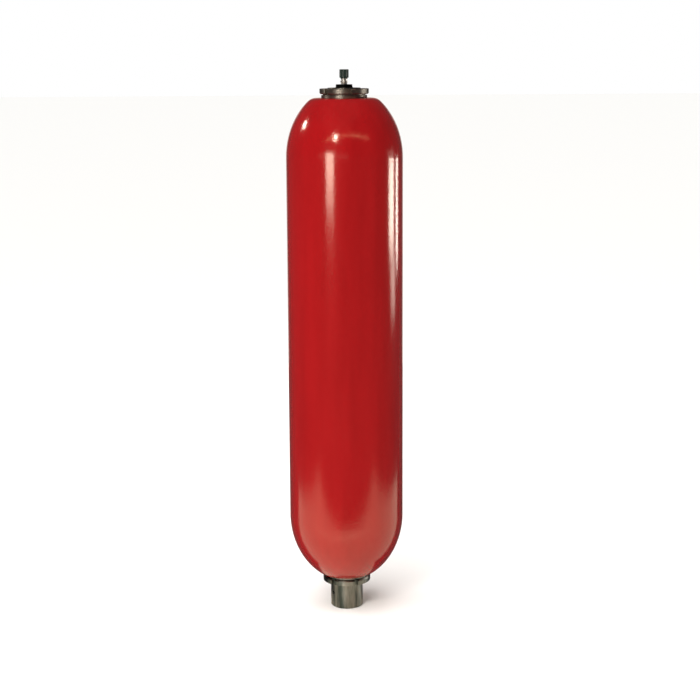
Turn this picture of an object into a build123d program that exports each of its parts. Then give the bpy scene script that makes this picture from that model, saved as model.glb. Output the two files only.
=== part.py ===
from build123d import *
from math import acos, asin, cos, pi, radians, sin, sqrt
import os

# Bladder accumulator of about 25 litres, stood upright on the axis of its shell.
# A seamless steel shell has a mouth at each end. A threaded body with an inner flange is drawn
# outwards through each mouth by a slotted ring nut, against a split ring that bears inside the neck.
# The lower body is the fluid port, with its poppet valve. The upper one is a plug, which carries
# the stem of the rubber bladder, and on top of that the gas valve under its cap.
# Millimetres. The origin is the centre of the fluid port's end face, and +Z runs up the axis.

# Clearances
fit_clearance = 0.1  # turned faces that are pushed or screwed over each other
stop_clearance = 0.3  # faces that meet at the end of a travel
slide_clearance = 0.06  # a stem in its guide

# Shell
shell_diameter = 229.0
shell_length = 960.0  # between the machined faces of the two necks
shell_wall = 12.0
head_semi_height = 139.0  # half-height of the ellipse that each end was spun to
gas_neck_face_diameter = 128.0
fluid_neck_face_diameter = 108.0
neck_face_round = 6.0
neck_thickness = 26.0  # metal at the mouth, outer face to inner face
inner_face_diameter = 122.0
mouth_bore = 80.0
mouth_chamfer = 1.5

# Closure of a neck, the same at both ends
thread_diameter = 65.0  # outside of the port body and of the gas plug, M65 x 2
flange_diameter = 77.0
flange_thickness = 10.0
split_ring_diameter = 108.0
split_ring_thickness = 12.0
split_ring_gap = 3.0
split_ring_round = 2.5
support_washer_thickness = 4.0
backup_ring_thickness = 3.5
spacer_diameter = 89.5
spacer_thickness = 7.5
spacer_groove_diameter = 83.0
spacer_groove_height = 2.0
ring_nut_diameter = 96.0
ring_nut_thickness = 10.5
ring_nut_slots = 6
ring_nut_slot_width = 7.0
ring_nut_slot_depth = 4.5
ring_nut_chamfer = 2.0
ring_nut_edge = 0.6
gas_nut_turn = 44.0  # degrees from +X to the first slot
fluid_nut_turn = 54.0

# Fluid port
port_reach = 54.0  # ring nut to the port's end face
port_bore = 48.0
port_thread_bore = 44.85  # G 1 1/2, at the crests of its thread
port_thread_length = 24.0
port_end_chamfer = 1.5
port_mouth_chamfer = 1.5
nick_width = 4.0  # small nick on the rim of the end face
nick_depth = 1.5
nick_turn = -86.5
web_height = 66.0  # underside of the web, above the port's end face
web_thickness = 14.0
web_spokes = 3
spoke_width = 7.0
hub_diameter = 28.0

# Poppet valve
poppet_head_diameter = 58.0
poppet_plate = 5.0  # straight edge of the head, above its seat cone
poppet_bevel = 2.0
poppet_stem_diameter = 14.0
poppet_travel = 12.0
brake_bush_diameter = 22.0
brake_bush_thickness = 8.0
poppet_thread_diameter = 12.0
poppet_nut_flats = 19.0
poppet_nut_thickness = 8.0
poppet_thread_stand = 2.0
poppet_spring_wire = 3.2
poppet_spring_mean_diameter = 23.0
poppet_spring_coils = 5

# Bleed screw, in the side of the port
bleed_height = 30.0
bleed_turn = 212.0
bleed_thread_diameter = 8.0
bleed_depth = 7.0
bleed_drill = 3.0
bleed_seal_thickness = 1.0
bleed_screw_length = 4.5
bleed_key = 4.0
bleed_key_depth = 2.5

# Bladder and the steel stem moulded into it
stem_diameter = 22.0
stem_flange_diameter = 60.0
stem_flange_thickness = 8.0
stem_gas_bore = 8.0
stem_seal_section = 3.0
stem_seal_recess_diameter = 29.0
stem_below_nut = 0.8  # how far the stem's end lies under the top of its lock nut
bladder_gap = 10.5  # bladder, at its moulded size, to the shell's wall
bladder_wall = 4.5
bladder_lip = 6.0
bladder_neck_wall = 9.0
bladder_shoulder = 120.0
bladder_end_semi_height = 96.0
bladder_end_gap = 34.0  # bladder to the open poppet
bladder_button_thickness = 4.0

# Gas plug and the lock nut of the stem
gas_plug_stand = 1.6
gas_plug_chamfer = 1.0
stem_washer_diameter = 34.0
stem_washer_thickness = 1.6
lock_nut_flats = 32.0
lock_nut_thickness = 4.8
lock_nut_chamfer = 1.2

# Gas valve
valve_thread_diameter = 12.0
valve_shank = 12.0
valve_hex_flats = 12.0
valve_hex_height = 4.0
valve_collar_diameter = 14.4
valve_collar_height = 4.0
valve_collar_bevel = 1.2
valve_neck_height = 3.8
valve_cap_thread_length = 12.9
valve_core_bore = 5.4
valve_core_depth = 16.5
valve_gas_drill = 4.0
valve_seal_section = 2.0

# Valve core
core_diameter = 5.2
core_length = 11.0
core_below_rim = 1.5
core_floor = 3.0
core_chamber = 2.8
pin_diameter = 1.2
pin_stand = 0.8
pin_collar_diameter = 2.4
pin_collar_height = 0.8
pin_collar_depth = 1.4
pin_head_diameter = 3.8
pin_head_height = 1.5
core_spring_wire = 0.4
core_spring_mean_diameter = 1.9
core_spring_coils = 6

# Valve cap
cap_diameter = 18.0
cap_height = 16.2
cap_collar_diameter = 14.0
cap_collar_height = 1.6
cap_ribs = 24
cap_rib_depth = 0.6
cap_edge = 0.8
cap_seal_thickness = 1.0

# Levels along Z, from the sizes above
shell_radius = shell_diameter / 2
thread_radius = thread_diameter / 2
mouth_radius = mouth_bore / 2
shell_bottom = port_reach + ring_nut_thickness + spacer_thickness
shell_top = shell_bottom + shell_length
inner_radius = shell_radius - shell_wall

# Depths inside a neck, counted outwards from its machined face, so that inside is negative
split_ring_inner = -neck_thickness - split_ring_thickness
flange_inner = split_ring_inner - flange_thickness
nut_outer = spacer_thickness + ring_nut_thickness
seal_room = mouth_radius - thread_radius
o_ring_section = seal_room - 2 * fit_clearance
support_washer_outer = -neck_thickness + support_washer_thickness
o_ring_middle = support_washer_outer + seal_room / 2
backup_ring_inner = support_washer_outer + seal_room
backup_ring_outer = backup_ring_inner + backup_ring_thickness

# Section planes: X is the radius, and Y runs outwards along the axis from the neck's machined face
gas_neck = Plane(origin=(0, 0, shell_top), x_dir=(1, 0, 0), z_dir=(0, -1, 0))
fluid_neck = Plane(origin=(0, 0, shell_bottom), x_dir=(1, 0, 0), z_dir=(0, 1, 0))

os.makedirs("parts", exist_ok=True)


def keep(piece, name):
    """Labels a finished piece and writes it."""
    piece.part.label = name
    export_step(piece.part, f"parts/{name}.step")


def turned(section_plane, *points):
    """A piece turned about the axis, from the corners of its section."""
    with BuildPart() as piece:
        with BuildSketch(section_plane):
            with BuildLine():
                Polyline(*points, close=True)
            make_face()
        revolve(axis=Axis.Z)
    return piece


def turned_ring(section_plane, inner, outer, start, end):
    """A plain ring, between two radii and two depths."""
    return turned(section_plane, (inner, start), (outer, start), (outer, end), (inner, end))


def o_ring(section_plane, ring_radius, depth, section):
    """A round ring, from the radius of its middle and the diameter of its section."""
    with BuildPart() as piece:
        with BuildSketch(section_plane):
            with Locations((ring_radius, depth)):
                Circle(section / 2)
        revolve(axis=Axis.Z)
    return piece


def spring(wire, mean_diameter, coils, low, high):
    """A coil spring of round wire from low to high: half turns, each tilted to climb half the pitch."""
    middle_radius = mean_diameter / 2
    climb = (high - low - wire) / (2 * coils)
    with BuildPart() as piece:
        for half_turn in range(2 * coils):
            start = low + wire / 2 + half_turn * climb
            side = middle_radius if half_turn % 2 == 0 else -middle_radius
            with BuildSketch(Plane.XZ):
                with Locations((side, start)):
                    Circle(wire / 2)
            tilted = Axis((0, 0, start + climb / 2), (climb / (2 * side), 0, 1))
            revolve(axis=tilted, revolution_arc=180)
    return piece


def elliptic_curve(centre, radius, semi_height, start, finish, steps=8):
    """Curve along an ellipse about a point of the axis, between two angles from the X direction."""
    turns = [start + (finish - start) * step / steps for step in range(steps + 1)]
    points = [(radius * cos(turn), centre + semi_height * sin(turn)) for turn in turns]
    headings = [(-radius * sin(turn), semi_height * cos(turn)) for turn in (start, finish)]
    return Spline(*points, tangents=headings)


# Shell: seamless tube, both ends spun in and thickened to a neck, with a machined face and mouth.
# Each half is drawn outwards from the middle of the shell, in the section plane of its own neck.
shell_middle = -shell_length / 2
inner_turn = acos(inner_face_diameter / 2 / inner_radius)
neck_faces = ((gas_neck, gas_neck_face_diameter), (fluid_neck, fluid_neck_face_diameter))
with BuildPart() as shell:
    for neck, face_diameter in neck_faces:
        outer_turn = acos(face_diameter / shell_diameter)
        head_start = -head_semi_height * sin(outer_turn)
        inner_semi_height = (-head_start - neck_thickness) / sin(inner_turn)
        with BuildSketch(neck):
            with BuildLine():
                inside = elliptic_curve(head_start, inner_radius, inner_semi_height, 0, inner_turn)
                outside = elliptic_curve(head_start, shell_radius, head_semi_height, 0, outer_turn)
                Polyline(
                    inside @ 1,
                    (mouth_radius, -neck_thickness),
                    (mouth_radius, -mouth_chamfer),
                    (mouth_radius + mouth_chamfer, 0),
                    outside @ 1,
                )
                Polyline(
                    outside @ 0,
                    (shell_radius, shell_middle),
                    (inner_radius, shell_middle),
                    inside @ 0,
                )
            make_face()
        revolve(axis=Axis.Z)
    rims = shell.edges().filter_by(GeomType.CIRCLE)
    face_radii = [face_diameter / 2 for neck, face_diameter in neck_faces]
    neck_rims = rims.filter_by(lambda rim: min(abs(rim.radius - radius) for radius in face_radii) < 0.01)
    fillet(neck_rims, neck_face_round)
keep(shell, "shell")


def split_ring(section_plane):
    """Two steel halves with a gap between them, so that the ring folds to go in through the mouth."""
    bore = thread_radius + fit_clearance
    ring = turned_ring(section_plane, bore, split_ring_diameter / 2, split_ring_inner, -neck_thickness)
    with BuildPart() as halves:
        add(ring.part)
        outer_rims = halves.edges().filter_by(GeomType.CIRCLE).group_by(SortBy.RADIUS)[-1]
        fillet(outer_rims, split_ring_round)
        with BuildSketch(Plane.XY.offset(section_plane.origin.Z)):
            Rectangle(split_ring_diameter, split_ring_gap)
        extrude(amount=neck_thickness + split_ring_thickness, both=True, mode=Mode.SUBTRACT)
    return halves


def split_ring_rubber(section_plane):
    """The two rubber hinges that are moulded between the halves of a split ring."""
    bore = thread_radius + fit_clearance
    outer = split_ring_diameter / 2 - split_ring_round
    with BuildPart() as hinges:
        with BuildSketch(section_plane):
            with Locations(((bore + outer) / 2, (split_ring_inner - neck_thickness) / 2)):
                Rectangle(outer - bore, split_ring_thickness)
        extrude(amount=split_ring_gap / 2, both=True)
        mirror(about=Plane.YZ)
    return hinges


def spacer_ring(section_plane):
    """Flanged ring under the slotted nut: its lip closes the seal's room, a groove parts it from the nut."""
    bore = thread_radius + fit_clearance
    lip = mouth_radius - fit_clearance
    groove = spacer_thickness - spacer_groove_height
    return turned(
        section_plane,
        (bore, backup_ring_outer),
        (lip, backup_ring_outer),
        (lip, 0),
        (spacer_diameter / 2, 0),
        (spacer_diameter / 2, groove),
        (spacer_groove_diameter / 2, groove),
        (spacer_groove_diameter / 2, spacer_thickness),
        (bore, spacer_thickness),
    )


def slotted_nut(section_plane, first_slot):
    """Ring nut with slots for a hook spanner, chamfered on the side of the shell."""
    bore = thread_radius + fit_clearance
    rim = ring_nut_diameter / 2
    blank = turned(
        section_plane,
        (bore, spacer_thickness),
        (rim - ring_nut_chamfer, spacer_thickness),
        (rim, spacer_thickness + ring_nut_chamfer),
        (rim, nut_outer - ring_nut_edge),
        (rim - ring_nut_edge, nut_outer),
        (bore, nut_outer),
    )
    with BuildPart() as nut:
        add(blank.part)
        with BuildSketch(Plane.XY.offset(section_plane.origin.Z)):
            with PolarLocations(rim, ring_nut_slots, start_angle=first_slot):
                Rectangle(2 * ring_nut_slot_depth, ring_nut_slot_width)
        extrude(amount=2 * nut_outer, both=True, mode=Mode.SUBTRACT)
    return nut


# The seven loose pieces of each closure
for side, neck, nut_turn in (("fluid", fluid_neck, fluid_nut_turn), ("gas", gas_neck, gas_nut_turn)):
    ring_inner = thread_radius + fit_clearance
    ring_outer = mouth_radius - fit_clearance
    keep(split_ring(neck), f"{side}_split_ring")
    keep(split_ring_rubber(neck), f"{side}_split_ring_rubber")
    keep(
        turned_ring(neck, ring_inner, ring_outer, -neck_thickness, support_washer_outer),
        f"{side}_support_washer",
    )
    keep(o_ring(neck, thread_radius + seal_room / 2, o_ring_middle, o_ring_section), f"{side}_o_ring")
    keep(
        turned_ring(neck, ring_inner, ring_outer, backup_ring_inner, backup_ring_outer),
        f"{side}_backup_ring",
    )
    keep(spacer_ring(neck), f"{side}_spacer_ring")
    keep(slotted_nut(neck, nut_turn), f"{side}_slotted_nut")

# Fluid port body: flange and valve seat inside the shell, thread for the ring nut, web that guides
# the poppet, and the pipe thread at its end
port_end = nut_outer + port_reach
seat_top_radius = poppet_head_diameter / 2
seat_height = seat_top_radius - port_bore / 2
seat_face = shell_bottom - flange_inner
thread_top = port_thread_bore / 2
bleed_out = Vector(cos(radians(bleed_turn)), sin(radians(bleed_turn)), 0)


def bleed_plane(radius):
    """Plane across the bleed hole at a distance from the port's axis, facing outwards."""
    return Plane(origin=bleed_out * radius + Vector(0, 0, bleed_height), z_dir=bleed_out)


bleed_floor = thread_radius - bleed_depth
port_blank = turned(
    fluid_neck,
    (port_bore / 2, flange_inner + seat_height),
    (seat_top_radius, flange_inner),
    (flange_diameter / 2, flange_inner),
    (flange_diameter / 2, split_ring_inner),
    (thread_radius, split_ring_inner),
    (thread_radius, port_end - port_end_chamfer),
    (thread_radius - port_end_chamfer, port_end),
    (thread_top + port_mouth_chamfer, port_end),
    (thread_top, port_end - port_mouth_chamfer),
    (thread_top, port_end - port_thread_length),
    (port_bore / 2, port_end - port_thread_length),
)
with BuildPart() as fluid_port_body:
    add(port_blank.part)
    with BuildSketch(Plane.XY.offset(web_height)):
        Circle(hub_diameter / 2)
        with PolarLocations(port_bore / 4, web_spokes, start_angle=90):
            Rectangle(port_bore / 2 + fit_clearance, spoke_width)
        Circle(poppet_stem_diameter / 2 + slide_clearance, mode=Mode.SUBTRACT)
    extrude(amount=web_thickness)
    with BuildSketch(bleed_plane(bleed_floor)):
        Circle(bleed_thread_diameter / 2)
    extrude(amount=2 * bleed_depth, mode=Mode.SUBTRACT)
    with BuildSketch(bleed_plane(port_bore / 4)):
        Circle(bleed_drill / 2)
    extrude(amount=port_bore / 2, mode=Mode.SUBTRACT)
    with BuildSketch(Plane.XY):
        with PolarLocations(thread_radius, 1, start_angle=nick_turn):
            Rectangle(2 * (nick_depth + port_end_chamfer), nick_width)
    extrude(amount=nick_depth, mode=Mode.SUBTRACT)
keep(fluid_port_body, "fluid_port_body")

# Bleed screw: a grub screw with a key socket, on a ring seal
bleed_screw_seat = bleed_floor + bleed_seal_thickness
with BuildPart() as bleed_seal:
    with BuildSketch(bleed_plane(bleed_floor)):
        Circle(bleed_thread_diameter / 2 - fit_clearance)
        Circle(bleed_drill / 2, mode=Mode.SUBTRACT)
    extrude(amount=bleed_seal_thickness)
keep(bleed_seal, "bleed_seal")

with BuildPart() as bleed_screw:
    with BuildSketch(bleed_plane(bleed_screw_seat)):
        Circle(bleed_thread_diameter / 2 - fit_clearance)
    extrude(amount=bleed_screw_length)
    with BuildSketch(bleed_plane(bleed_screw_seat + bleed_screw_length)):
        RegularPolygon(bleed_key / 2, 6, major_radius=False)
    extrude(amount=-bleed_key_depth, mode=Mode.SUBTRACT)
keep(bleed_screw, "bleed_screw")

# Poppet, drawn open: its head stands one travel above the seat
lift = poppet_travel + stop_clearance
head_radius = seat_top_radius
head_under = seat_face - seat_height + lift
head_edge = seat_face + lift
stem_shoulder = web_height - stop_clearance
bush_under = stem_shoulder - brake_bush_thickness
poppet_nut_under = bush_under - poppet_nut_thickness
poppet_end = poppet_nut_under - poppet_thread_stand
head_top = head_edge + poppet_plate + poppet_bevel
poppet = turned(
    Plane.XZ,
    (0, head_top),
    (0, poppet_end),
    (poppet_thread_diameter / 2 - poppet_bevel / 2, poppet_end),
    (poppet_thread_diameter / 2, poppet_end + poppet_bevel / 2),
    (poppet_thread_diameter / 2, stem_shoulder),
    (poppet_stem_diameter / 2, stem_shoulder),
    (poppet_stem_diameter / 2, head_under),
    (head_radius - seat_height, head_under),
    (head_radius, head_edge),
    (head_radius, head_edge + poppet_plate),
    (head_radius - poppet_bevel, head_top),
)
keep(poppet, "poppet")

poppet_brake_bush = turned_ring(
    Plane.XZ, poppet_thread_diameter / 2 + fit_clearance, brake_bush_diameter / 2, bush_under, stem_shoulder
)
keep(poppet_brake_bush, "poppet_brake_bush")


def hex_nut(flats, bore, low, high, edge):
    """Hexagon nut with its top corners turned off, and a corner to the front."""
    with BuildPart() as nut:
        with BuildSketch(Plane.XY.offset(low)):
            RegularPolygon(flats / 2, 6, major_radius=False, rotation=30)
            Circle(bore / 2, mode=Mode.SUBTRACT)
        extrude(amount=high - low)
        corner = flats / sqrt(3)
        with BuildSketch(Plane.XZ):
            with BuildLine():
                Polyline(
                    (0, low),
                    (corner, low),
                    (corner, high - edge),
                    (flats / 2, high),
                    (0, high),
                    close=True,
                )
            make_face()
        revolve(axis=Axis.Z, mode=Mode.INTERSECT)
    return nut


poppet_nut = hex_nut(
    poppet_nut_flats,
    poppet_thread_diameter + 2 * fit_clearance,
    poppet_nut_under,
    bush_under,
    lock_nut_chamfer,
)
keep(poppet_nut, "poppet_nut")

poppet_spring = spring(
    poppet_spring_wire,
    poppet_spring_mean_diameter,
    poppet_spring_coils,
    web_height + web_thickness + stop_clearance,
    head_under - stop_clearance,
)
keep(poppet_spring, "poppet_spring")

# Gas plug, drawn up through the upper mouth: the bladder's stem goes through its bore
plug_end = nut_outer + gas_plug_stand
stem_radius = stem_diameter / 2
recess_radius = stem_seal_recess_diameter / 2
recess_floor = flange_inner + stem_seal_section
gas_plug = turned(
    gas_neck,
    (stem_radius + fit_clearance, recess_floor),
    (recess_radius, recess_floor),
    (recess_radius, flange_inner),
    (flange_diameter / 2, flange_inner),
    (flange_diameter / 2, split_ring_inner),
    (thread_radius, split_ring_inner),
    (thread_radius, plug_end - gas_plug_chamfer),
    (thread_radius - gas_plug_chamfer, plug_end),
    (stem_radius + fit_clearance, plug_end),
)
keep(gas_plug, "gas_plug")

# Stem of the bladder: a flange that the rubber grips, and a threaded shank with the gas bore
lock_nut_low = plug_end + stem_washer_thickness
lock_nut_top = lock_nut_low + lock_nut_thickness
stem_end = lock_nut_top - stem_below_nut
stem_foot = flange_inner - stem_flange_thickness
valve_radius = valve_thread_diameter / 2
valve_foot = stem_end - valve_shank
bladder_stem = turned(
    gas_neck,
    (stem_gas_bore / 2, stem_foot),
    (stem_flange_diameter / 2, stem_foot),
    (stem_flange_diameter / 2, flange_inner),
    (stem_radius, flange_inner),
    (stem_radius, stem_end),
    (valve_radius + fit_clearance, stem_end),
    (valve_radius + fit_clearance, valve_foot - valve_seal_section),
    (stem_gas_bore / 2, valve_foot - valve_seal_section),
)
keep(bladder_stem, "bladder_stem")

stem_o_ring = o_ring(
    gas_neck,
    (stem_radius + recess_radius) / 2,
    flange_inner + stem_seal_section / 2,
    stem_seal_section - 2 * fit_clearance,
)
keep(stem_o_ring, "stem_o_ring")

stem_washer = turned_ring(
    gas_neck, stem_radius + fit_clearance, stem_washer_diameter / 2, plug_end, lock_nut_low
)
keep(stem_washer, "stem_washer")

stem_lock_nut = hex_nut(
    lock_nut_flats,
    stem_diameter + 2 * fit_clearance,
    shell_top + lock_nut_low,
    shell_top + lock_nut_top,
    lock_nut_chamfer,
)
keep(stem_lock_nut, "stem_lock_nut")

# Bladder, hanging at its moulded size: a long bag of rubber, thick where it grips the stem's flange
bladder_radius = inner_radius - bladder_gap
bladder_cup = stem_flange_diameter / 2 + fit_clearance
bladder_neck_radius = bladder_cup + bladder_neck_wall
bladder_top = shell_top + flange_inner - fit_clearance
cup_floor = shell_top + stem_foot
bladder_roof = cup_floor - bladder_lip
bladder_widest = bladder_roof - bladder_shoulder
bladder_low = head_top + bladder_end_gap
bladder_turn_in = bladder_low + bladder_end_semi_height
inner_bag_radius = bladder_radius - bladder_wall
inner_bag_semi_height = bladder_end_semi_height - bladder_wall
button_top = bladder_low + bladder_wall + bladder_button_thickness
button_turn = asin((bladder_turn_in - button_top) / inner_bag_semi_height)
with BuildPart() as bladder:
    with BuildSketch(Plane.XZ):
        with BuildLine():
            Polyline(
                (bladder_cup, bladder_roof),
                (stem_gas_bore / 2, bladder_roof),
                (stem_gas_bore / 2, cup_floor),
                (bladder_cup, cup_floor),
                (bladder_cup, bladder_top),
                (bladder_neck_radius, bladder_top),
                (bladder_neck_radius, cup_floor),
            )
            Spline(
                (bladder_neck_radius, cup_floor),
                (bladder_radius, bladder_widest),
                tangents=((1, -1), (0, -1)),
            )
            outer_end = elliptic_curve(
                bladder_turn_in, bladder_radius, bladder_end_semi_height, -pi / 2, 0
            )
            inner_end = elliptic_curve(
                bladder_turn_in, inner_bag_radius, inner_bag_semi_height, -button_turn, 0
            )
            Line((bladder_radius, bladder_widest), outer_end @ 1)
            Polyline(outer_end @ 0, (0, button_top), inner_end @ 0)
            Line(inner_end @ 1, (inner_bag_radius, bladder_widest))
            Spline(
                (inner_bag_radius, bladder_widest),
                (bladder_cup, bladder_roof),
                tangents=((0, 1), (-1, 1)),
            )
        make_face()
    revolve(axis=Axis.Z)
keep(bladder, "bladder")

# Gas valve body: screwed into the stem on a ring seal, with a hexagon, a collar and the cap's thread
hex_top = stem_end + valve_hex_height
collar_top = hex_top + valve_collar_height
cap_foot = collar_top + valve_neck_height
valve_rim = cap_foot + valve_cap_thread_length
core_bore_floor = valve_rim - valve_core_depth
valve_wall_middle = (valve_core_bore + valve_thread_diameter) / 4
valve_shaft = turned(
    gas_neck,
    (valve_gas_drill / 2, valve_foot),
    (valve_radius, valve_foot),
    (valve_radius, valve_rim - fit_clearance),
    (valve_core_bore / 2, valve_rim - fit_clearance),
    (valve_core_bore / 2, core_bore_floor),
    (valve_gas_drill / 2, core_bore_floor),
)
valve_collar = turned(
    gas_neck,
    (valve_wall_middle, hex_top),
    (valve_radius, hex_top),
    (valve_collar_diameter / 2, hex_top + valve_collar_bevel),
    (valve_collar_diameter / 2, collar_top - valve_collar_bevel),
    (valve_radius, collar_top),
    (valve_wall_middle, collar_top),
)
with BuildPart() as gas_valve_body:
    add(valve_shaft.part)
    with BuildSketch(Plane.XY.offset(shell_top + stem_end)):
        RegularPolygon(valve_hex_flats / 2, 6, major_radius=False)
        Circle(valve_wall_middle, mode=Mode.SUBTRACT)
    extrude(amount=valve_hex_height)
    add(valve_collar.part)
keep(gas_valve_body, "gas_valve_body")

valve_seal = o_ring(
    gas_neck,
    (valve_radius + stem_gas_bore / 2) / 2,
    valve_foot - valve_seal_section / 2,
    valve_seal_section - 2 * fit_clearance,
)
keep(valve_seal, "valve_seal")

# Valve core: a brass barrel, and the pin that a spring holds shut against the barrel's foot
core_top = valve_rim - core_below_rim
core_foot = core_top - core_length
chamber_floor = core_foot + core_floor
pin_radius = pin_diameter / 2
valve_core_barrel = turned(
    gas_neck,
    (pin_radius + slide_clearance, core_foot),
    (core_diameter / 2, core_foot),
    (core_diameter / 2, core_top),
    (core_chamber / 2, core_top),
    (core_chamber / 2, chamber_floor),
    (pin_radius + slide_clearance, chamber_floor),
)
keep(valve_core_barrel, "valve_core_barrel")

pin_head_top = core_foot - slide_clearance
pin_collar_low = core_top - pin_collar_depth
valve_core_pin = turned(
    gas_neck,
    (0, pin_head_top - pin_head_height),
    (pin_head_diameter / 2, pin_head_top - pin_head_height),
    (pin_head_diameter / 2, pin_head_top - pin_head_height / 3),
    (pin_head_diameter / 2 - pin_head_height / 3, pin_head_top),
    (pin_radius, pin_head_top),
    (pin_radius, pin_collar_low),
    (pin_collar_diameter / 2, pin_collar_low),
    (pin_collar_diameter / 2, pin_collar_low + pin_collar_height),
    (pin_radius, pin_collar_low + pin_collar_height),
    (pin_radius, core_top + pin_stand),
    (0, core_top + pin_stand),
)
keep(valve_core_pin, "valve_core_pin")

valve_core_spring = spring(
    core_spring_wire,
    core_spring_mean_diameter,
    core_spring_coils,
    shell_top + chamber_floor + slide_clearance,
    shell_top + pin_collar_low - slide_clearance,
)
keep(valve_core_spring, "valve_core_spring")

# Valve cap: ribbed, screwed over the valve's thread on a flat seal
cap_body_low = cap_foot + cap_collar_height
cap_top = cap_body_low + cap_height
cap_ceiling = valve_rim + cap_seal_thickness
cap_bore = valve_radius + fit_clearance
cap_blank = turned(
    gas_neck,
    (cap_bore, cap_foot + fit_clearance),
    (cap_collar_diameter / 2, cap_foot + fit_clearance),
    (cap_collar_diameter / 2, cap_body_low),
    (cap_diameter / 2 - cap_edge, cap_body_low),
    (cap_diameter / 2, cap_body_low + cap_edge),
    (cap_diameter / 2, cap_top - cap_edge),
    (cap_diameter / 2 - cap_edge, cap_top),
    (0, cap_top),
    (0, cap_ceiling),
    (cap_bore, cap_ceiling),
)
with BuildPart() as valve_cap:
    add(cap_blank.part)
    with BuildSketch(Plane.XY.offset(shell_top + cap_body_low)):
        with PolarLocations(cap_diameter / 2, cap_ribs):
            RegularPolygon(cap_rib_depth, 4)
    extrude(amount=cap_height - cap_edge, mode=Mode.SUBTRACT)
keep(valve_cap, "valve_cap")

cap_seal = turned_ring(
    gas_neck, valve_core_bore / 2, valve_radius - fit_clearance, valve_rim, cap_ceiling
)
keep(cap_seal, "cap_seal")
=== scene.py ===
from math import atan2, cos, pi, radians, sin, sqrt

import bmesh
import bpy
from mathutils import Matrix, Vector


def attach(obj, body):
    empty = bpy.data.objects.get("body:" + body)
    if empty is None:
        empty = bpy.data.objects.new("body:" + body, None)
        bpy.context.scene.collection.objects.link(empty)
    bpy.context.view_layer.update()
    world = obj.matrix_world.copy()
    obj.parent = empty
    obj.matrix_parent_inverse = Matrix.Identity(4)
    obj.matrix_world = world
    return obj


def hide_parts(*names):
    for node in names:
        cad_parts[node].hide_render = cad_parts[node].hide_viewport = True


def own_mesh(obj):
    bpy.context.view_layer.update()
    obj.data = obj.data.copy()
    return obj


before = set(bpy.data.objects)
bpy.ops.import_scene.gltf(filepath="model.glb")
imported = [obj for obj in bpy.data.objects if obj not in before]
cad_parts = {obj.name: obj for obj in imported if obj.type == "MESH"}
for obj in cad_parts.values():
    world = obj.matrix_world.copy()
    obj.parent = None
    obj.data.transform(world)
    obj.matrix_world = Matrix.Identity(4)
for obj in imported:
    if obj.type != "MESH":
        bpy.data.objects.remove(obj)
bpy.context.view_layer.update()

# Shell: a seamless steel tube with both ends spun hot to domes, each bored out to a mouth.
# Stove enamel over primer, sprayed, so it is glossy with a faint orange peel.
# The inside is left as the spinning and the phosphate bath leave it, dark and matt.

mm = 0.001


def linear(colour):
    """A linear colour from an sRGB hex value."""
    parts = [int(colour[i : i + 2], 16) / 255 for i in (0, 2, 4)]
    return [c / 12.92 if c <= 0.04045 else ((c + 0.055) / 1.055) ** 2.4 for c in parts] + [1.0]


def node(tree, kind, settings=None, **links):
    """Adds a node. A socket is given by its name, or by its number as in socket_6."""
    made = tree.nodes.new("ShaderNode" + kind)
    for name, value in (settings or {}).items():
        setattr(made, name, value)
    for name, value in links.items():
        key = int(name[7:]) if name.startswith("socket_") else name.replace("_", " ")
        if isinstance(value, bpy.types.NodeSocket):
            tree.links.new(value, made.inputs[key])
        else:
            made.inputs[key].default_value = value
    return made


def finish(name, **surface):
    """A new material, its tree and shader, and the object coordinates that its pattern follows."""
    made = bpy.data.materials.new(name)
    made.use_nodes = True
    shader = made.node_tree.nodes["Principled BSDF"]
    for socket, value in surface.items():
        shader.inputs[socket.replace("_", " ")].default_value = value
    return made, made.node_tree, shader, node(made.node_tree, "TexCoord").outputs["Object"]


def clouded(tree, shader, place, patch, dark, light, gloss=None, **noise):
    """Soft patches, patch mm across, that shift the colour and, where gloss is given, the roughness."""
    cloud = node(tree, "TexNoise", Vector=place, Scale=1 / (patch * mm), **noise).outputs["Fac"]
    tone = node(
        tree, "Mix", {"data_type": "RGBA"}, Factor=cloud, socket_6=linear(dark), socket_7=linear(light)
    )
    tree.links.new(tone.outputs[2], shader.inputs["Base Color"])
    if gloss:
        satin = node(
            tree, "MapRange", Value=cloud, From_Min=0.3, From_Max=0.7, To_Min=gloss[0], To_Max=gloss[1]
        )
        tree.links.new(satin.outputs["Result"], shader.inputs["Roughness"])
    return cloud


def spun(profile, steps, turn=0.0):
    """A closed profile of (radius, height) in mm, spun a full turn about the axis of the part."""
    bm = bmesh.new()
    corners = [bm.verts.new((r * mm, 0, z * mm)) for r, z in profile]
    edges = [bm.edges.new(pair) for pair in zip(corners, corners[1:] + corners[:1])]
    bmesh.ops.rotate(bm, verts=corners, cent=(0, 0, 0), matrix=Matrix.Rotation(turn, 3, "Z"))
    bmesh.ops.spin(
        bm, geom=corners + edges, cent=(0, 0, 0), axis=(0, 0, 1), dvec=(0, 0, 0),
        angle=2 * pi, steps=steps, use_merge=True,
    )
    bmesh.ops.remove_doubles(bm, verts=bm.verts, dist=0.001 * mm)
    bmesh.ops.dissolve_degenerate(bm, edges=bm.edges, dist=0.001 * mm)
    return bm


crease = radians(32)


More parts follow.
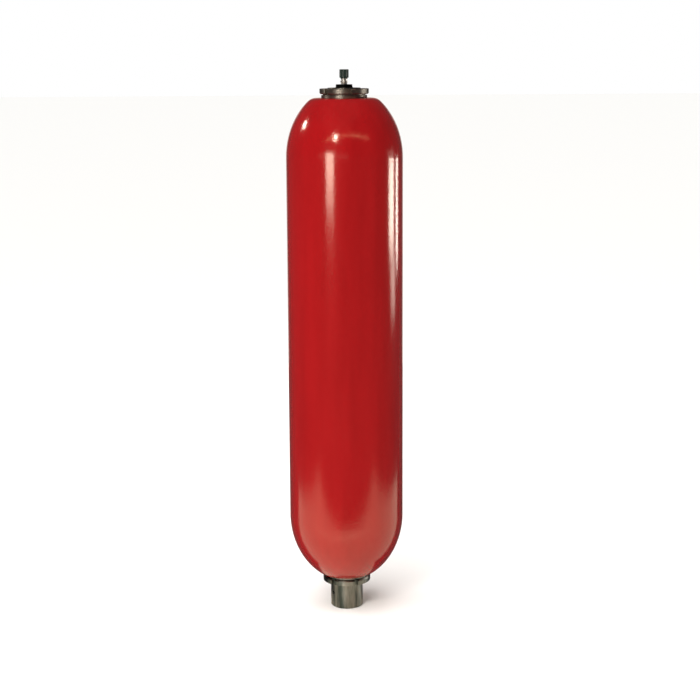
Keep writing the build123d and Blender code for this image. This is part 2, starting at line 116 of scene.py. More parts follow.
def piece(bm, name, body, materials, stands_for, edge=0.0):
    """Turns a bmesh into a piece, faces outwards and creases crisp, or rounded by edge mm."""
    bmesh.ops.recalc_face_normals(bm, faces=bm.faces)
    for face in bm.faces:
        face.smooth = True
    for line in bm.edges:
        line.smooth = line.is_manifold and line.calc_face_angle() < crease
    mesh = bpy.data.meshes.new(name)
    bm.to_mesh(mesh)
    bm.free()
    made = bpy.data.objects.new(name, mesh)
    bpy.context.collection.objects.link(made)
    for material in materials:
        mesh.materials.append(material)
    if edge:
        rounding = made.modifiers.new("Edges", "BEVEL")
        rounding.width = edge * mm
        rounding.segments = 2
        rounding.limit_method = "ANGLE"
        rounding.angle_limit = crease
        rounding.harden_normals = True
    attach(made, body)
    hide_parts(*stands_for)
    return made


shell_radius = 114.5
shell_wall = 12.0
shell_low = 72.0
shell_high = 1032.0
shell_centre = (shell_low + shell_high) / 2
dome_height = 139.0
gas_face_radius = 64.0
gas_neck_round = 22.0
fluid_face_radius = 54.0
fluid_neck_round = 6.0
neck_depth = 26.0
mouth_radius = 40.0
mouth_chamfer = 1.5
inner_radius = shell_radius - shell_wall
inner_face_radius = 61.0


def dome_length(face_radius):
    """How far a dome reaches from its widest ring to the machined face of its neck."""
    return dome_height * sqrt(1 - (face_radius / shell_radius) ** 2)


def outer_dome(face_radius, neck_round):
    """Outside of a dome with the round at its neck, as (radius, distance from the widest ring)."""
    length = dome_length(face_radius)
    # The round touches both the ellipse and the face, which halving the range finds
    low, high = 0.0, pi / 2
    for _ in range(50):
        t = (low + high) / 2
        across, down = cos(t) / shell_radius, sin(t) / dome_height
        centre = dome_height * sin(t) - neck_round * down / sqrt(across**2 + down**2)
        low, high = (t, high) if centre < length - neck_round else (low, t)
    line = [(shell_radius * cos(t * i / 30), dome_height * sin(t * i / 30)) for i in range(31)]
    lean = atan2(down, across)
    middle = line[-1][0] - neck_round * cos(lean)
    for i in range(1, 9):
        a = lean + (pi / 2 - lean) * i / 8
        line.append((middle + neck_round * cos(a), length + neck_round * (sin(a) - 1)))
    return line


def inner_dome(face_radius):
    """Inside of the same dome, which ends on the flat that the split ring bears on."""
    length = dome_length(face_radius) - neck_depth
    height = length / sqrt(1 - (inner_face_radius / inner_radius) ** 2)
    end = atan2(length / height, inner_face_radius / inner_radius)
    return [(inner_radius * cos(end * i / 20), height * sin(end * i / 20)) for i in range(21)]


dome_low = shell_low + dome_length(fluid_face_radius)
dome_high = shell_high - dome_length(gas_face_radius)
outline = [(mouth_radius, shell_low + mouth_chamfer), (mouth_radius + mouth_chamfer, shell_low)]
outline += [(r, dome_low - d) for r, d in reversed(outer_dome(fluid_face_radius, fluid_neck_round))]
outline += [(shell_radius, dome_low + (dome_high - dome_low) * i / 18) for i in range(1, 18)]
outline += [(r, dome_high + d) for r, d in outer_dome(gas_face_radius, gas_neck_round)]
outline += [(mouth_radius + mouth_chamfer, shell_high), (mouth_radius, shell_high - mouth_chamfer)]
outline += [(mouth_radius, shell_high - neck_depth)]
outline += [(r, dome_high + d) for r, d in reversed(inner_dome(gas_face_radius))]
outline += [(r, dome_low - d) for r, d in inner_dome(fluid_face_radius)]
outline += [(mouth_radius, shell_low + neck_depth)]

# Stoving has yellowed the clear resin a little, so the paint is glossy with warm highlights
enamel, tree, paint, place = finish(
    "red_stove_enamel", Roughness=0.14, Specular_Tint=(1.0, 0.86, 0.68, 1.0), Coat_Weight=0.2,
    Coat_Roughness=0.05, Coat_IOR=1.5, Coat_Tint=(1.0, 0.95, 0.88, 1.0),
)
# Orange peel of a sprayed coat: dimples 2 or 3 mm apart, drawn 4.5 mm apart so that they break up the
# edges of the highlights. A slower swell every 60 mm is the shell itself, from its hot rolling.
peel = node(tree, "TexNoise", Vector=place, Scale=1 / (4.5 * mm), Detail=2.0, Roughness=0.6)
swell = node(tree, "TexNoise", Vector=place, Scale=1 / (60 * mm), Detail=1.0)
low_bump = node(tree, "Bump", Strength=0.35, Distance=0.5 * mm, Height=swell.outputs["Fac"])
peel_bump = node(
    tree, "Bump", Strength=0.6, Distance=0.3 * mm, Height=peel.outputs["Fac"],
    Normal=low_bump.outputs["Normal"],
)
tree.links.new(peel_bump.outputs["Normal"], paint.inputs["Normal"])
tree.links.new(peel_bump.outputs["Normal"], paint.inputs["Coat Normal"])
# The paint is a little thinner and browner here and there, in upright streaks 35 mm wide
flow = node(tree, "Mapping", Vector=place, Scale=(1.0, 1.0, 0.12))
runs = node(tree, "TexNoise", Vector=flow.outputs["Vector"], Scale=1 / (35 * mm), Detail=3.0)
depth = node(
    tree, "MapRange", Value=runs.outputs["Fac"], From_Min=0.35, From_Max=0.7, To_Min=0.0, To_Max=1.0
)
coat = node(
    tree, "Mix", {"data_type": "RGBA"}, Factor=depth.outputs["Result"],
    socket_6=linear("880C10"), socket_7=linear("7F090D"),
)
tree.links.new(coat.outputs[2], paint.inputs["Base Color"])
gloss = node(
    tree, "MapRange", Value=peel.outputs["Fac"], From_Min=0.3, From_Max=0.7, To_Min=0.11, To_Max=0.17
)
tree.links.new(gloss.outputs["Result"], paint.inputs["Roughness"])

bare_wall, tree, bare, place = finish("phosphated_inner_wall", Metallic=0.6, Roughness=0.7)
# Phosphate crystals on a hot-rolled skin, drawn 1.5 mm across where the real ones are 0.02 mm
skin = clouded(tree, bare, place, 1.5, "2E2C2A", "4A4743", Detail=4.0, Roughness=0.6)
grain = node(tree, "Bump", Strength=0.3, Distance=0.05 * mm, Height=skin)
tree.links.new(grain.outputs["Normal"], bare.inputs["Normal"])

shell_mesh = spun(outline, 160)
bmesh.ops.recalc_face_normals(shell_mesh, faces=shell_mesh.faces)
for face in shell_mesh.faces:
    from_centre = face.calc_center_median() - Vector((0, 0, shell_centre * mm))
    face.material_index = 1 if face.normal.dot(from_centre) < 0 else 0
piece(shell_mesh, "spun_shell", "vessel", [enamel, bare_wall], ["shell"])

# Fluid port: a body turned from bar, drawn out through the lower mouth by its flange.
# It has a pipe thread for the hydraulic line, and a web of three spokes that guides the poppet.
# Machined steel with a thin oiled phosphate, so it is a warm satin grey.

port_radius = 32.5
port_bore = 24.0
port_chamfer = 1.5
port_mouth_chamfer = 1.9
flange_radius = 38.5
flange_low = 110.0
flange_high = 120.0
seat_radius = 29.0
pipe_crest = 22.425
pipe_root = 23.904
pipe_pitch = 2.309
pipe_back = 25.5
pipe_low = 1.4
pipe_high = 24.0
bleed_turn = 212.0
bleed_height = 30.0
bleed_recess_radius = 4.0
bleed_recess_depth = 7.0
bleed_drill_radius = 1.5
bleed_drill_depth = 2.0
nick_turn = radians(-86.5)
nick_depth = 1.0
web_low = 66.0
web_high = 80.0
hub_bore = 7.06
hub_radius = 14.0
spoke_width = 7.0
spoke_inner = 12.0
spoke_outer = 25.0


def thread(bm, crest, root, back, low, high, pitch, steps=64):
    """A single-start thread, inner or outer as crest and root say, closed at its back and ends."""
    ridges = int((high - low) / pitch)
    line = []
    for i in range(ridges):
        z = low + i * pitch
        line += [(root, z), (crest, z + pitch * 0.42), (crest, z + pitch * 0.55)]
    line += [(root, low + ridges * pitch), (back, low + ridges * pitch), (back, low)]
    section = bm.faces.new([bm.verts.new((r * mm, 0, z * mm)) for r, z in line])
    bmesh.ops.spin(
        bm, geom=[section], cent=(0, 0, 0), axis=(0, 0, 1), dvec=(0, 0, pitch * mm / steps),
        angle=2 * pi, steps=steps, use_merge=False,
    )


def opening(bm, radius, hole, step, steps, floor_radius):
    """Sinks a round hole at the bleed screw into a spun wall, in place of the faces near it.

    The patch that it replaces is steps faces wide on each side, and each face is step mm wide.
    """
    half = step * steps
    facing = Vector((cos(radians(bleed_turn)), sin(radians(bleed_turn)), 0))
    across = Vector((-facing.y, facing.x, 0))
    patch = []
    for face in bm.faces:
        middle = face.calc_center_median()
        on_wall = abs(middle.xy.length - radius * mm) < 0.2 * mm and middle.dot(facing) > 0
        if on_wall and max(abs(middle.z - bleed_height * mm), abs(middle.dot(across))) < half * mm:
            patch.append(face)
    rim = [e for f in patch for e in f.edges if sum(x in patch for x in e.link_faces) == 1]
    bmesh.ops.delete(bm, geom=patch, context="FACES_ONLY")
    loose = [e for e in bm.edges if not e.link_faces]
    bmesh.ops.delete(bm, geom=loose, context="EDGES")
    alone = [v for v in bm.verts if not v.link_edges]
    bmesh.ops.delete(bm, geom=alone, context="VERTS")
    count = 8 * steps
    ring = [bm.verts.new((0, 0, 0)) for _ in range(count)]
    # At exactly half a step the bevelled edge varies from run to run, so the ring stands a hair off it.
    for i, corner in enumerate(ring):
        a = 2 * pi * (i + 0.502) / count
        side, up = hole * cos(a), bleed_height + hole * sin(a)
        corner.co = (across * side + facing * sqrt(radius**2 - side**2)) * mm + Vector((0, 0, up * mm))
    ring_edges = [bm.edges.new(pair) for pair in zip(ring, ring[1:] + ring[:1])]
    bmesh.ops.bridge_loops(bm, edges=rim + ring_edges)
    pushed = bmesh.ops.extrude_edge_only(bm, edges=ring_edges)["geom"]
    depth = floor_radius * mm
    for corner in [v for v in pushed if isinstance(v, bmesh.types.BMVert)]:
        side = corner.co.dot(across)
        corner.co = across * side + facing * depth + Vector((0, 0, corner.co.z))
    floor_edges = [e for e in pushed if isinstance(e, bmesh.types.BMEdge) and len(e.link_faces) == 1]
    bmesh.ops.contextual_create(bm, geom=floor_edges)


def lathe_marks(tree, place, spacing, wander=1.5):
    """Feed marks spacing mm apart: bands up the round faces and rings on the flat ones."""
    sorts = [("BANDS", "bands_direction"), ("RINGS", "rings_direction")]
    waves = [
        node(
            tree, "TexWave", {"wave_type": sort, direction: "Z"}, Vector=place,
            Scale=2 * pi / (20 * spacing * mm), Distortion=wander, Detail=1.0,
        ).outputs["Fac"]
        for sort, direction in sorts
    ]
    marks = node(tree, "Math", {"operation": "ADD"}, socket_0=waves[0], socket_1=waves[1])
    return marks.outputs["Value"]


# Turned steel under a thin layer of oiled manganese phosphate, which greys it and keeps it a metal.
# The quarter turn of the anisotropy draws each highlight out along the axis, across the lathe marks.
# This darker copy of the phosphated steel is for the fluid end under the lower dome: its darkness beside the
# gas end's copy is painted shade
dark_steel, tree, steel, place = finish(
    "phosphated_machined_steel", Metallic=1.0, Anisotropic=0.9, Anisotropic_Rotation=0.25
)
# Oil that has run down in streaks about 14 mm wide, greener where it lies thick. The streaks' offset and
# contrast are set so that their darker, greener bands and their light bands also paint the port's shaded and
# lit upright bands: painted shade and painted light
down = node(tree, "Mapping", Vector=place, Location=(0.004, 0.0, 0.0), Scale=(1.0, 1.0, 0.15))
oil_and_shade_streaks = node(tree, "TexNoise", Vector=down.outputs["Vector"], Scale=1 / (14 * mm), Detail=3.0, Roughness=0.5)
oil_and_shade_depth = node(
    tree, "MapRange", Value=oil_and_shade_streaks.outputs["Fac"], From_Min=0.38, From_Max=0.62, To_Min=0.0, To_Max=1.0
)
tone = node(
    tree, "Mix", {"data_type": "RGBA"}, Factor=oil_and_shade_depth.outputs["Result"],
    socket_6=linear("49524E"), socket_7=linear("95978F"),
)
tree.links.new(tone.outputs[2], steel.inputs["Base Color"])
satin = node(
    tree, "MapRange", Value=oil_and_shade_streaks.outputs["Fac"], From_Min=0.3, From_Max=0.7, To_Min=0.33, To_Max=0.42
)
tree.links.new(satin.outputs["Result"], steel.inputs["Roughness"])
# Feed marks 0.25 mm apart on the real one, and 1.2 mm here so that they show
cut = node(tree, "Bump", Strength=0.12, Distance=0.03 * mm, Height=lathe_marks(tree, place, 1.2))
tree.links.new(cut.outputs["Normal"], steel.inputs["Normal"])

# Near the bleed screw the walls are spun in rows, so that their faces are squares there
outer_step = 2.13
outer_rows = [bleed_height + i * outer_step for i in range(-3, 4)]
inner_step = 1.57
inner_rows = [bleed_height + i * inner_step for i in range(-2, 3)]
port_line = [(port_radius - port_chamfer, 0.0), (port_radius, port_chamfer)]
port_line += [(port_radius, z) for z in outer_rows]
port_line += [(port_radius, flange_low), (flange_radius, flange_low), (flange_radius, flange_high)]
port_line += [(seat_radius, flange_high), (port_bore, flange_high + port_bore - seat_radius)]
port_line += [(port_bore, z) for z in reversed(inner_rows)]
port_line += [(port_bore, port_mouth_chamfer), (port_bore + port_mouth_chamfer, 0.0)]
port = spun(port_line, 96, radians(bleed_turn))
opening(port, port_radius, bleed_recess_radius, outer_step, 3, port_radius - bleed_recess_depth)
opening(port, port_bore, bleed_drill_radius, inner_step, 2, port_bore + bleed_drill_depth)
# A small nick in the rim of the end face, two spin steps wide
nick = []
for face in port.faces:
    middle = face.calc_center_median()
    on_rim = 31.2 < middle.xy.length / mm < 32.4 and middle.z < 1.4 * mm
    if on_rim and abs(atan2(middle.y, middle.x) - nick_turn) < radians(3.8):
        nick.append(face)
sunk = bmesh.ops.extrude_face_region(port, geom=nick)["geom"]
bmesh.ops.delete(port, geom=nick, context="FACES_ONLY")
inward = Vector((-cos(nick_turn), -sin(nick_turn), 1)) * nick_depth * mm
bmesh.ops.translate(port, verts=[v for v in sunk if isinstance(v, bmesh.types.BMVert)], vec=inward)
thread(port, pipe_crest, pipe_root, pipe_back, pipe_low, pipe_high, pipe_pitch, 96)
for spoke in (90, 210, 330):
    size = Vector((spoke_outer - spoke_inner, spoke_width, web_high - web_low)) * mm
    middle = Vector((spoke_inner + spoke_outer, 0, web_low + web_high)) * mm / 2
    made = bmesh.ops.create_cube(port, size=1.0)["verts"]
    bmesh.ops.scale(port, verts=made, vec=size)
    bmesh.ops.translate(port, verts=made, vec=middle)
    turned = Matrix.Rotation(radians(spoke), 3, "Z")
    bmesh.ops.rotate(port, verts=made, cent=(0, 0, 0), matrix=turned)
hub_line = [(hub_bore, web_low), (hub_radius, web_low), (hub_radius, web_high), (hub_bore, web_high)]
hub = [port.verts.new((r * mm, 0, z * mm)) for r, z in hub_line]
hub += [port.edges.new(pair) for pair in zip(hub, hub[1:] + hub[:1])]
bmesh.ops.spin(
    port, geom=hub, cent=(0, 0, 0), axis=(0, 0, 1), dvec=(0, 0, 0), angle=2 * pi, steps=48, use_merge=True
)
piece(port, "fluid_port", "vessel", [dark_steel], ["fluid_port_body"], 0.3)

# Bleed screw: a blackened socket screw on a bonded seal, sunk in the side of the port.
# Black oxide on steel is nearly black and keeps a dull metal sheen.


def dress(material, *names):
    """Gives a node of the frame its finish and leaves its mesh alone."""
    for name in names:
        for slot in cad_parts[name].material_slots:
            slot.link = "OBJECT"
            slot.material = material


blacked_steel, tree, oxide, place = finish("black_oxide_steel", Metallic=1.0, Roughness=0.38)
# Cloudy oxide, with patches about 4 mm across
cloud = clouded(tree, oxide, place, 4, "121313", "262523", Detail=4.0, Roughness=0.6)
cut = node(tree, "Bump", Strength=0.2, Distance=0.03 * mm, Height=cloud)
tree.links.new(cut.outputs["Normal"], oxide.inputs["Normal"])

moulded_rubber, tree, nitrile, place = finish("moulded_nitrile_rubber", Roughness=0.6, IOR=1.52)
# Nitrile straight from its mould: a bloom in soft patches 15 mm across, and a fine grain drawn
# 0.8 mm across where the mould's real one is 0.1 mm
clouded(tree, nitrile, place, 15, "17181A", "2A2B2C", Detail=3.0)
fine = node(tree, "TexNoise", Vector=place, Scale=1 / (0.8 * mm), Detail=2.0)
cut = node(tree, "Bump", Strength=0.25, Distance=0.05 * mm, Height=fine.outputs["Fac"])
tree.links.new(cut.outputs["Normal"], nitrile.inputs["Normal"])

dress(blacked_steel, "bleed_screw")
dress(moulded_rubber, "bleed_seal")

# Poppet valve: a steel mushroom with a long stem, held open by a coil spring until the bladder
# presses on it. A brass brake bush and a nut on the stem's end stop it at its upper limit.

bright_steel, tree, turned_face, place = finish(
    "turned_steel", Metallic=1.0, Anisotropic=0.4, Anisotropic_Rotation=0.25
)
# Clean steel with a film of oil in patches 10 mm across. Its feed marks are drawn 0.8 mm apart,
# where the real ones are 0.15 mm.
clouded(tree, turned_face, place, 10, "A9A7A3", "C4C2BE", (0.22, 0.34), Detail=3.0)
cut = node(tree, "Bump", Strength=0.12, Distance=0.02 * mm, Height=lathe_marks(tree, place, 0.8, 1.0))
tree.links.new(cut.outputs["Normal"], turned_face.inputs["Normal"])

bar_brass, tree, brass_face, place = finish(
    "turned_brass", Metallic=1.0, Anisotropic=0.4, Anisotropic_Rotation=0.25
)
# Brass from the bar, tarnished in patches 5 mm across, with the same feed marks
clouded(tree, brass_face, place, 5, "B48C46", "D6B56C", (0.34, 0.2), Detail=4.0)
bands = node(
    tree, "TexWave", {"wave_type": "BANDS", "bands_direction": "Z"}, Vector=place,
    Scale=2 * pi / (20 * 0.8 * mm), Distortion=1.0, Detail=1.0,
)
cut = node(tree, "Bump", Strength=0.1, Distance=0.02 * mm, Height=bands.outputs["Fac"])
tree.links.new(cut.outputs["Normal"], brass_face.inputs["Normal"])

dress(bright_steel, "poppet", "poppet_nut")
dress(bar_brass, "poppet_brake_bush")


def coil_spring(name, wire, middle, low, high, active, stands_for):
    """A compression spring with a closed turn at each end, ground flat, that a joint squeezes."""
    bm = bmesh.new()
    spot = Matrix.Translation((middle * mm / 2, 0, (low + wire * 0.3) * mm)) @ Matrix.Rotation(pi / 2, 4, "X")
    section = bmesh.ops.create_circle(bm, cap_ends=True, segments=12, radius=wire * mm / 2, matrix=spot)
    rise = high - low - 0.6 * wire
    free = (rise - 2 * wire) / active
    geom = [section["verts"][0].link_faces[0]]
    for turns, pitch in ((1, wire), (active, free), (1, wire)):
        steps = int(28 * turns)
        geom = bmesh.ops.spin(
            bm, geom=geom, cent=(0, 0, 0), axis=(0, 0, 1),
            dvec=(0, 0, pitch * turns * mm / steps), angle=2 * pi * turns, steps=steps, use_merge=False,
        )["geom_last"]
    for height, out in ((low, -1), (high, 1)):
        ground = bmesh.ops.bisect_plane(
            bm, geom=bm.verts[:] + bm.edges[:] + bm.faces[:], dist=0.0001 * mm,
            plane_co=(0, 0, height * mm), plane_no=(0, 0, out), clear_outer=True,
        )
        lines = [e for e in ground["geom_cut"] if isinstance(e, bmesh.types.BMEdge)]
        bmesh.ops.holes_fill(bm, edges=lines, sides=0)
    made = piece(bm, name, "vessel", [bright_steel], stands_for)
    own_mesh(made)


coil_spring(
    "poppet_coil", wire=3.2, middle=23.0, low=80.3, high=127.0, active=3.5,
    stands_for=["poppet_spring"],
)

# Seals and rings inside each neck: a steel split ring with two rubber hinges bears on the flat
# inside the neck, and a washer, an O-ring and a hard plastic back-up ring seal the mouth.

white_ring, tree, ptfe, place = finish("turned_ptfe", Roughness=0.45, IOR=1.38, Subsurface_Weight=0.15)
# Waxy white plastic, faintly mottled every 6 mm by the light that goes into it
clouded(tree, ptfe, place, 6, "DAD9D2", "EDECE6", Detail=2.0)

for end in ("fluid", "gas"):
    dress(bright_steel, end + "_split_ring", end + "_support_washer")
    dress(moulded_rubber, end + "_split_ring_rubber", end + "_o_ring")
    dress(white_ring, end + "_backup_ring")

# Spacer rings: turned steel, one between each neck and its ring nut. The narrow groove next to
# the nut shows as a dark line.

nut_bore = 32.6
spacer_radius = 44.75
spacer_thickness = 7.5
lip_radius = 39.9
lip_length = 11.0
groove_radius = 41.5
groove_height = 2.0

# The gas end is lighter than the port: the same phosphate, in a lighter copy whose lightness is painted
# light, for the light that the gas end catches. Its colour shifts in patches 12 mm across
gas_end_lit_steel, tree, steel, place = finish(
    "phosphated_steel_lit_copy", Metallic=1.0, Anisotropic=0.8, Anisotropic_Rotation=0.25
)
clouded(tree, steel, place, 12, "7F7B72", "9C968A", (0.52, 0.44), Detail=4.0, Roughness=0.6)
cut = node(tree, "Bump", Strength=0.12, Distance=0.03 * mm, Height=lathe_marks(tree, place, 1.2))
tree.links.new(cut.outputs["Normal"], steel.inputs["Normal"])

# Heights count outwards from the face of the neck, so the lip in the mouth lies below zero
shoulder = spacer_thickness - groove_height
ring_line = [(nut_bore, -lip_length), (lip_radius, -lip_length), (lip_radius, 0.0)]
ring_line += [(spacer_radius, 0.0), (spacer_radius, shoulder), (groove_radius, shoulder)]
ring_line += [(groove_radius, spacer_thickness), (nut_bore, spacer_thickness)]
# The fluid end's spacer takes the darker copy of the steel and the gas end's the lighter copy: painted shade
# and painted light
for end, face, up, metal in (("fluid", shell_low, -1, dark_steel), ("gas", shell_high, 1, gas_end_lit_steel)):
    ring = spun([(r, face + up * z) for r, z in ring_line], 120)
    piece(ring, end + "_spacer", "vessel", [metal], [end + "_spacer_ring"], 0.3)

# Ring nuts: turned and milled steel, with six slots for a hook spanner. The outer corner is
# chamfered, and each nut is screwed up against its spacer ring.

nut_radius = 48.0
nut_thickness = 10.5
slot_floor = 43.5
slot_half_width = 3.5
slot_count = 6


def slotted_nut(name, lowest, low_cut, high_cut, first, metal, stands_for):
    """A ring turned to shape, with slots milled through its rim, the first at first degrees."""
    highest = lowest + nut_thickness
    line = [(nut_bore, lowest), (slot_floor, lowest)]
    line += [(nut_radius - low_cut, lowest), (nut_radius, lowest + low_cut)]
    line += [(nut_radius, highest - high_cut), (nut_radius - high_cut, highest)]
    line += [(slot_floor, highest), (nut_bore, highest)]
    bm = spun(line, 144, radians(first - 3.75))
    for slot in range(slot_count):
        turn = Matrix.Rotation(-radians(first + 360 / slot_count * slot), 3, "Z")

        def placed(point):
            """The point in mm with this slot turned to +X."""
            return turn @ point / mm

        milled = []
        for face in bm.faces:
            ahead, side, level = placed(face.calc_center_median())
            if ahead > slot_floor + 0.2 and abs(side) < slot_half_width - 0.2:
                milled.append(face)
        bmesh.ops.delete(bm, geom=milled, context="FACES")
        open_edges = [e for e in bm.edges if e.is_boundary]
        floor = [
            e for e in open_edges
            if all(abs(v.co.xy.length / mm - slot_floor) < 0.01 for v in e.verts)
        ]
        bmesh.ops.bridge_loops(bm, edges=floor)
        bmesh.ops.holes_fill(bm, edges=[e for e in bm.edges if e.is_boundary], sides=0)
        # The walls of the slot are moved from the nearest steps of the spin to the cutter's width
        for corner in bm.verts:
            ahead, side, level = placed(corner.co)
            if ahead > slot_floor - 0.5 and 2.4 < abs(side) < 3.6:
                side = slot_half_width if side > 0 else -slot_half_width
                corner.co = turn.transposed() @ Vector((ahead, side, level)) * mm
    piece(bm, name, "vessel", [metal], stands_for, 0.25)


# The lower nut takes the darker copy of the steel, as painted shade, and the upper one the lighter copy, as
# painted light
slotted_nut(
    "fluid_ring_nut", lowest=shell_low - spacer_thickness - nut_thickness, low_cut=0.6, high_cut=2.0,
    first=54.0, metal=dark_steel, stands_for=["fluid_slotted_nut"],
)
slotted_nut(
    "gas_ring_nut", lowest=shell_high + spacer_thickness, low_cut=2.0, high_cut=0.6,
    first=44.0, metal=gas_end_lit_steel, stands_for=["gas_slotted_nut"],
)

# Bladder: a long bag of nitrile rubber, moulded and cured as one piece, with a steel stem
# bonded into its thick neck. The stem comes out through the gas plug.

dress(moulded_rubber, "bladder", "stem_o_ring")
dress(bright_steel, "bladder_stem")

# Gas plug with the stem's washer and lock nut: the plug is turned from the same bar as the
# port. The washer and the thin hexagon nut are blackened.

# The plug takes the gas end's lighter copy of the steel, whose lightness is painted light
dress(gas_end_lit_steel, "gas_plug")
dress(blacked_steel, "stem_washer", "stem_lock_nut")

# Gas valve: a nickel-plated brass body with a hexagon, a collar and the thread that the cap
# and the charging unit screw on to.

plated_brass, tree, plate, place = finish(
    "satin_nickel_plate", Metallic=1.0, Anisotropic=0.6, Anisotropic_Rotation=0.25
)
# A thin plate over turned brass: the turning keeps it from being a mirror, in patches 3 mm across
clouded(tree, plate, place, 3, "E4DDD4", "F3EEE6", (0.42, 0.54), Detail=3.0)

valve_thread_radius = 6.0
hex_flats = 12.0
valve = spun(
    [
        (2.0, 1045.2), (5.9, 1045.2), (5.9, 1061.2), (6.0, 1061.2), (7.2, 1062.4), (7.2, 1064.0),
        (6.0, 1065.2), (5.55, 1065.2), (5.55, 1081.2), (5.1, 1081.8), (2.7, 1081.8), (2.7, 1065.3),
        (2.0, 1065.3),
    ],
    64,
)
bmesh.ops.create_cone(
    valve, cap_ends=True, segments=6, radius1=hex_flats / sqrt(3) * mm,
    radius2=hex_flats / sqrt(3) * mm, depth=4.0 * mm, matrix=Matrix.Translation((0, 0, 1059.2 * mm)),
)
thread(valve, valve_thread_radius, 5.45, 5.0, 1067.0, 1080.8, 1.0)
piece(valve, "gas_valve", "vessel", [plated_brass], ["gas_valve_body"], 0.15)
dress(moulded_rubber, "valve_seal")

# Valve core: a brass barrel with a spring-loaded pin that holds the gas in.
# The pin's steel spring sits in the barrel and is squeezed when the pin is pressed.

dress(bar_brass, "valve_core_barrel", "valve_core_pin")
coil_spring(
    "valve_pin_coil", wire=0.4, middle=1.9, low=1072.46, high=1078.94, active=4.5,
    stands_for=["valve_core_spring"],
)

# Cap: moulded in black plastic with ribs for the fingers, over a flat rubber seal.
# It screws on to the valve's thread by hand and keeps dirt out of the core.

cap_plastic, tree, nylon, place = finish("moulded_nylon", Roughness=0.34, IOR=1.53)
# Glass-filled nylon: a bloom of fibres 0.01 mm thick, drawn 0.8 mm across
fibre = clouded(tree, nylon, place, 0.8, "0F1A15", "1B2A23", Detail=3.0, Roughness=0.6)
cut = node(tree, "Bump", Strength=0.2, Distance=0.03 * mm, Height=fibre)
tree.links.new(cut.outputs["Normal"], nylon.inputs["Normal"])

dress(cap_plastic, "valve_cap")
dress(moulded_rubber, "cap_seal")

# Studio: white paper on the floor, level with the port's lower end face. Gloss reflects a small
# warmer sheet in its place, as a brown floor in front of the vessel would show in its paint, and
# past that sheet the reflections stay dark, as from a studio's walls.


def paper(name, dark, light):
    """Uncoated paper, whose tooth is drawn 2 mm across where the real one is 0.1 mm."""
    made, tree, sheet, place = finish(name, Roughness=0.9)
    clouded(tree, sheet, place, 2, dark, light, Detail=2.0)
    return made


# Corners in metres. The far edge dips in behind the port, which gives the reflection in the lower
# dome its curved top. Each face is convex, so the sheet is cut into four.
near_sheet = [
    [(0, 0.13), (-0.13, -0.03), (0, -0.69)],
    [(-0.13, -0.03), (-0.95, 0.33), (-0.95, -0.69), (0, -0.69)],
    [(0, 0.13), (0, -0.69), (0.13, -0.04)],
    [(0.13, -0.04), (0, -0.69), (0.95, -0.69), (0.95, 0.58)],
]
whole_floor = [(-40, 40), (-40, -40), (40, -40), (40, 40)]
for name, outlines, level, stock in (
    ("near_paper", near_sheet, 0.0, paper("kraft_paper", "F7E6CF", "FBEEDC")),
    ("floor_paper", [whole_floor], -0.3, paper("studio_paper", "F8F7F4", "FCFBF9")),
):
    bm = bmesh.new()
    for corners in outlines:
        bm.faces.new([bm.verts.new((x, y, level * mm)) for x, y in corners])
    bmesh.ops.remove_doubles(bm, verts=bm.verts, dist=0.1 * mm)
    mesh = bpy.data.meshes.new(name)
    bm.to_mesh(mesh)
    bm.free()
    mesh.materials.append(stock)
    laid = bpy.data.objects.new(name, mesh)
    bpy.context.collection.objects.link(laid)
    only_gloss = name == "near_paper"
    laid.visible_glossy = only_gloss
    laid.visible_camera = laid.visible_diffuse = laid.visible_shadow = not only_gloss

# Lights: soft light from above for the paper, with a window on the left, three panes on the
# right, and bulbs under the ceiling, whose reflections are the highlights in the paint.
# Angles are clockwise from the camera's side, seen from above, so minus is to the left.


def lamp(name, turn, reach, base, wide, high, power, rise=0, in_gloss=True, warmth=(1.0, 0.94, 0.88)):
    """A soft panel that faces the axis, rise degrees above base metres and reach metres away."""
    data = bpy.data.lights.new(name, "AREA")
    data.shape = "RECTANGLE"
    data.size, data.size_y, data.energy = wide, high, power
    data.color = warmth
    made = bpy.data.objects.new(name, data)
    flat = reach * cos(radians(rise))
    spot = Vector((flat * sin(radians(turn)), -flat * cos(radians(turn)), base + reach * sin(radians(rise))))
    made.location = spot
    made.rotation_euler = (Vector((0, 0, base)) - spot).to_track_quat("-Z", "Y").to_euler()
    made.visible_glossy = in_gloss
    made.visible_camera = False
    bpy.context.collection.objects.link(made)


# Windows, which make the long upright highlights
lamp("left_window", turn=-28, reach=2.0, base=0.92, wide=0.52, high=0.5, power=11.4)
lamp("right_window", turn=102, reach=2.0, base=0.67, wide=0.5, high=0.32, power=7.6)
lamp("right_window_low", turn=107, reach=2.0, base=0.39, wide=0.5, high=0.18, power=1.2)
lamp("right_pane", turn=122, reach=2.0, base=0.64, wide=0.22, high=0.36, power=3.2)
# Bulbs and a tube under the ceiling, which make the spots and the thin arc on the upper dome
lamp("bulb_left", turn=-19, reach=2.5, base=0.95, wide=0.3, high=0.3, power=13.0, rise=27)
lamp("bulb_far_left", turn=-106, reach=2.5, base=0.976, wide=0.28, high=0.28, power=11.0, rise=26)
lamp(
    "ceiling_tube", turn=6, reach=2.5, base=0.96, wide=4.6, high=0.03, power=7.0, rise=30,
    warmth=(1.0, 0.62, 0.38),
)
# Panels behind the vessel, which lighten the rims of the shell
lamp("rim_left", turn=-166, reach=2.5, base=0.7, wide=0.7, high=1.4, power=2.0)
lamp("rim_right", turn=166, reach=2.5, base=0.7, wide=0.7, high=1.4, power=2.0)
lamp("back_glow", turn=180, reach=2.5, base=0.8, wide=0.9, high=1.6, power=2.0, warmth=(1.0, 0.5, 0.4))
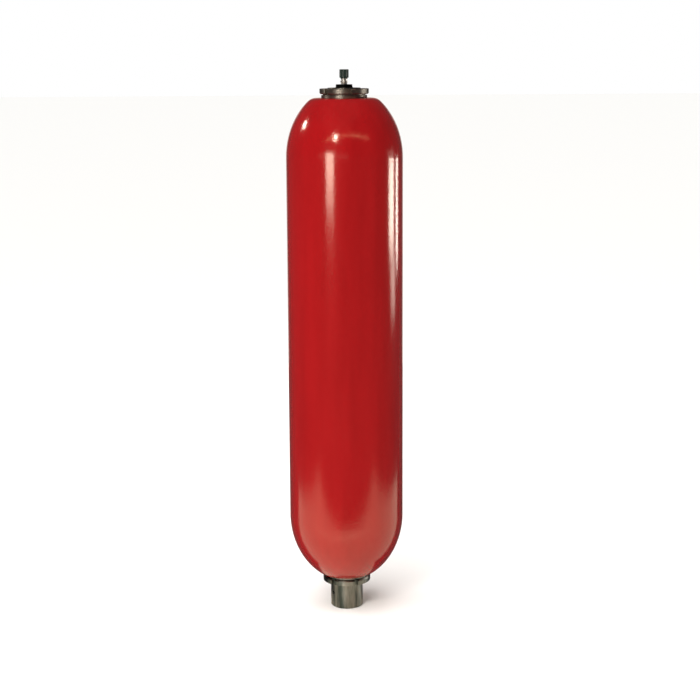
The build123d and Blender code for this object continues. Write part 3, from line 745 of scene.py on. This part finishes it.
# Low panels level with the gas end, which model its nut
lamp("panel_front", turn=-22, reach=2.2, base=1.03, wide=2.4, high=0.14, power=0.9)
lamp("panel_right", turn=100, reach=2.2, base=1.0, wide=0.8, high=0.14, power=0.4)
# Fill, which no gloss reflects
lamp(
    "floor_bounce", turn=-10, reach=0.5, base=0.25, wide=1.2, high=0.06, power=1.0, rise=-28,
    in_gloss=False,
)
lamp(
    "front_fill", turn=-25, reach=3.0, base=0.6, wide=1.6, high=1.6, power=31, rise=12,
    in_gloss=False, warmth=(1.0, 1.0, 1.0),
)

sky = bpy.data.lights.new("sky", "SUN")
sky.energy, sky.angle = 3.4, radians(70)
sky_light = bpy.data.objects.new("sky", sky)
sky_light.rotation_euler = (radians(14), radians(-10), 0)
sky_light.visible_glossy = False
bpy.context.collection.objects.link(sky_light)

# The world is white to the camera and dim in reflections
world = bpy.data.worlds.new("studio")
world.use_nodes = True
air = world.node_tree
seen = node(air, "LightPath").outputs["Is Camera Ray"]
glow = node(air, "MapRange", Value=seen, From_Min=0.0, From_Max=1.0, To_Min=0.08, To_Max=1.0)
air.links.new(glow.outputs["Result"], air.nodes["Background"].inputs["Strength"])
air.nodes["Background"].inputs["Color"].default_value = (1.0, 1.0, 1.0, 1.0)
bpy.context.scene.world = world
bpy.context.scene.view_settings.view_transform = "Standard"

# Camera: a long lens a little above the gas valve, looking down at the port as in the picture.
# Distances are in metres and angles in degrees. The focal length and the places in the picture
# are in its own pixels.

camera_distance = 3.0
camera_height = 1.115
camera_tilt = 10.38
camera_roll = 0.33
picture_size = 700
focal_length = 1526.0
axis_column = 343.9
drop = 16.0
sensor_width = 36.0

camera_data = bpy.data.cameras.new("camera")
camera_data.sensor_width = sensor_width
camera_data.lens = focal_length * sensor_width / picture_size
camera_data.shift_x = (picture_size / 2 - axis_column) / picture_size
camera_data.shift_y = -drop / picture_size
camera_data.clip_start = 0.05
camera = bpy.data.objects.new("camera", camera_data)
camera.location = (0, -camera_distance, camera_height)
camera.rotation_euler = (radians(90 - camera_tilt), radians(camera_roll), 0)
bpy.context.collection.objects.link(camera)
bpy.context.scene.camera = camera
